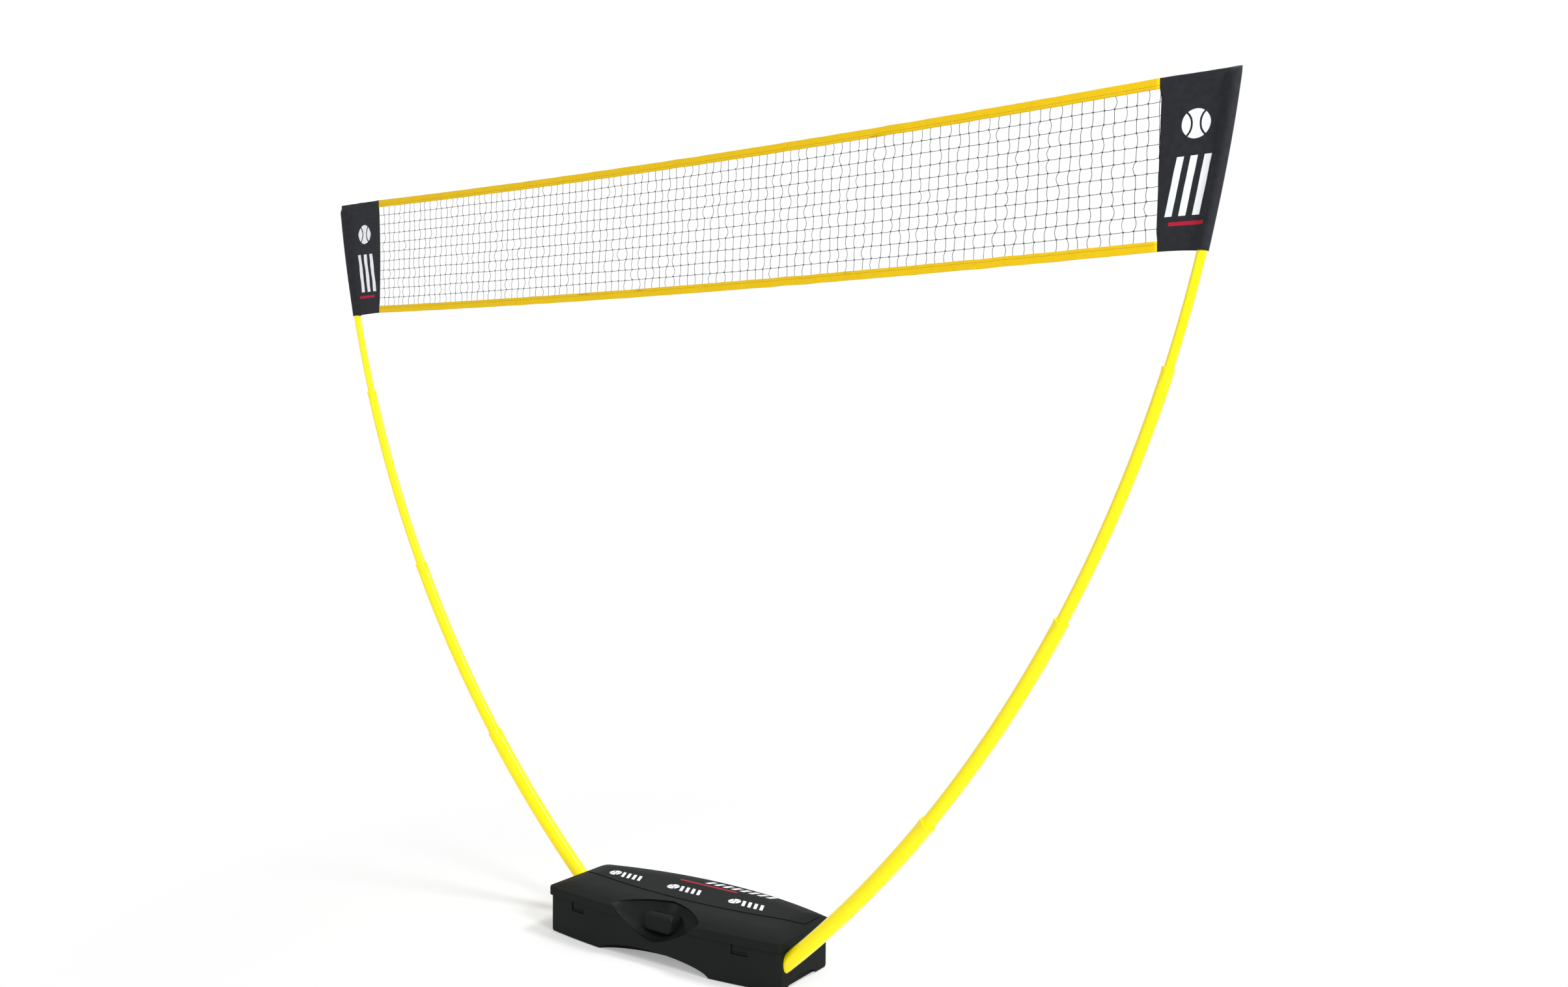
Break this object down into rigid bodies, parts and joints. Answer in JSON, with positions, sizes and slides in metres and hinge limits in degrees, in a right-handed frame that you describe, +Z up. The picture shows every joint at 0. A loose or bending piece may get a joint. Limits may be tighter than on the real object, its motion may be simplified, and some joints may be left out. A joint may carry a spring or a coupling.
{
  "type": "portable volleyball net set",
  "caption": "Portable volleyball net on bowed telescopic poles that stand in the ends of a flat carry case.",
  "frame": {"origin": "on the floor, under the middle of the case, at the middle of the base mount", "axes": "+X along the net towards the right pole, +Y away from the carry handle, +Z up"},
  "size_m": [3.0325, 0.3481, 2.187],
  "materials": {
    "case_plastic": "satin moulded ABS with a fine grain",
    "lid_sheet": "glossy sheet with a white and red print",
    "hinge_steel": "zinc plated",
    "pole_yellow": "glossy coloured glass fibre tube",
    "black_rubber": "plain",
    "sleeve_cloth": "woven nylon",
    "tape_cloth": "woven polyester tape, folded and stitched",
    "net_twine": "knotted polyester twine"
  },
  "bodies": {
    "case": {"lower_shell": "case_plastic", "carry_handle": "case_plastic", "right_hinge_pin": "hinge_steel", "left_hinge_pin": "hinge_steel", "right_pole_socket": "case_plastic", "left_pole_socket": "case_plastic", "right_base_plug": "black_rubber", "left_base_plug": "black_rubber", "right_pole_section_1": "pole_yellow", "left_pole_section_1": "pole_yellow"},
    "lid": {"lid": "case_plastic", "lid_panel": "lid_sheet"},
    "right_latch": {"right_latch_button": "case_plastic"},
    "left_latch": {"left_latch_button": "case_plastic"},
    "right_tube_2": {"right_pole_section_2": "pole_yellow"},
    "right_tube_3": {"right_pole_section_3": "pole_yellow"},
    "right_tube_4": {"right_pole_section_4": "pole_yellow", "right_tip_cap": "black_rubber"},
    "left_tube_2": {"left_pole_section_2": "pole_yellow"},
    "left_tube_3": {"left_pole_section_3": "pole_yellow"},
    "left_tube_4": {"left_pole_section_4": "pole_yellow", "left_tip_cap": "black_rubber"},
    "net": {"net_mesh": "net_twine", "top_tape": "tape_cloth", "bottom_tape": "tape_cloth", "right_sleeve": "sleeve_cloth"},
    "left_end": {"left_sleeve": "sleeve_cloth"}
  },
  "joints": [
    {"name": "right_section_2", "type": "hinge", "parent": "case", "child": "right_tube_2", "pos_m": [-1.83474, -0.068, 2.56844], "axis": [0, 1, 0], "range_deg": [0, 8.5]},
    {"name": "right_section_3", "type": "hinge", "parent": "right_tube_2", "child": "right_tube_3", "pos_m": [-1.83474, -0.068, 2.56844], "axis": [0, 1, 0], "range_deg": [0, 8.5]},
    {"name": "right_section_4", "type": "hinge", "parent": "right_tube_3", "child": "right_tube_4", "pos_m": [-1.83474, -0.068, 2.56844], "axis": [0, 1, 0], "range_deg": [0, 3.4]},
    {"name": "left_section_2", "type": "hinge", "parent": "case", "child": "left_tube_2", "pos_m": [1.80851, 0.068, 2.59173], "axis": [0, 1, 0], "range_deg": [-8.5, 0]},
    {"name": "left_section_3", "type": "hinge", "parent": "left_tube_2", "child": "left_tube_3", "pos_m": [1.80851, 0.068, 2.59173], "axis": [0, 1, 0], "range_deg": [-8.5, 0]},
    {"name": "left_section_4", "type": "hinge", "parent": "left_tube_3", "child": "left_tube_4", "pos_m": [1.80851, 0.068, 2.59173], "axis": [0, 1, 0], "range_deg": [-3.4, 0]},
    {"name": "net_level", "type": "hinge", "parent": "right_tube_4", "child": "net", "pos_m": [1.4672, -0.068, 2.00302], "axis": [0, 1, 0], "range_deg": [-20.4, 0], "deforming": ["net_mesh", "top_tape", "bottom_tape", "right_sleeve"]},
    {"name": "left_end_level", "type": "hinge", "parent": "left_tube_4", "child": "left_end", "pos_m": [-1.48936, 0.068, 2.00302], "axis": [0, 1, 0], "range_deg": [0, 20.4], "deforming": ["left_sleeve"]},
    {"name": "lid_hinge", "type": "hinge", "parent": "case", "child": "lid", "pos_m": [0, 0.2045, 0.106], "axis": [-1, 0, 0], "range_deg": [0, 100]},
    {"name": "right_latch_push", "type": "slide", "parent": "case", "child": "right_latch", "axis": [-0.0937, 0.9956, 0], "range_m": [0, 0.003], "stiffness_N_per_m": 400},
    {"name": "left_latch_push", "type": "slide", "parent": "case", "child": "left_latch", "axis": [0.0937, 0.9956, 0], "range_m": [0, 0.003], "stiffness_N_per_m": 400}
  ],
  "couplings": [
    {"joint": "right_section_3", "follows": "right_section_2", "ratio": 1},
    {"joint": "right_section_4", "follows": "right_section_2", "ratio": 0.4},
    {"joint": "left_section_2", "follows": "right_section_2", "ratio": -1},
    {"joint": "left_section_3", "follows": "right_section_2", "ratio": -1},
    {"joint": "left_section_4", "follows": "right_section_2", "ratio": -0.4},
    {"joint": "net_level", "follows": "right_section_2", "ratio": -2.4},
    {"joint": "left_end_level", "follows": "right_section_2", "ratio": 2.4}
  ]
}
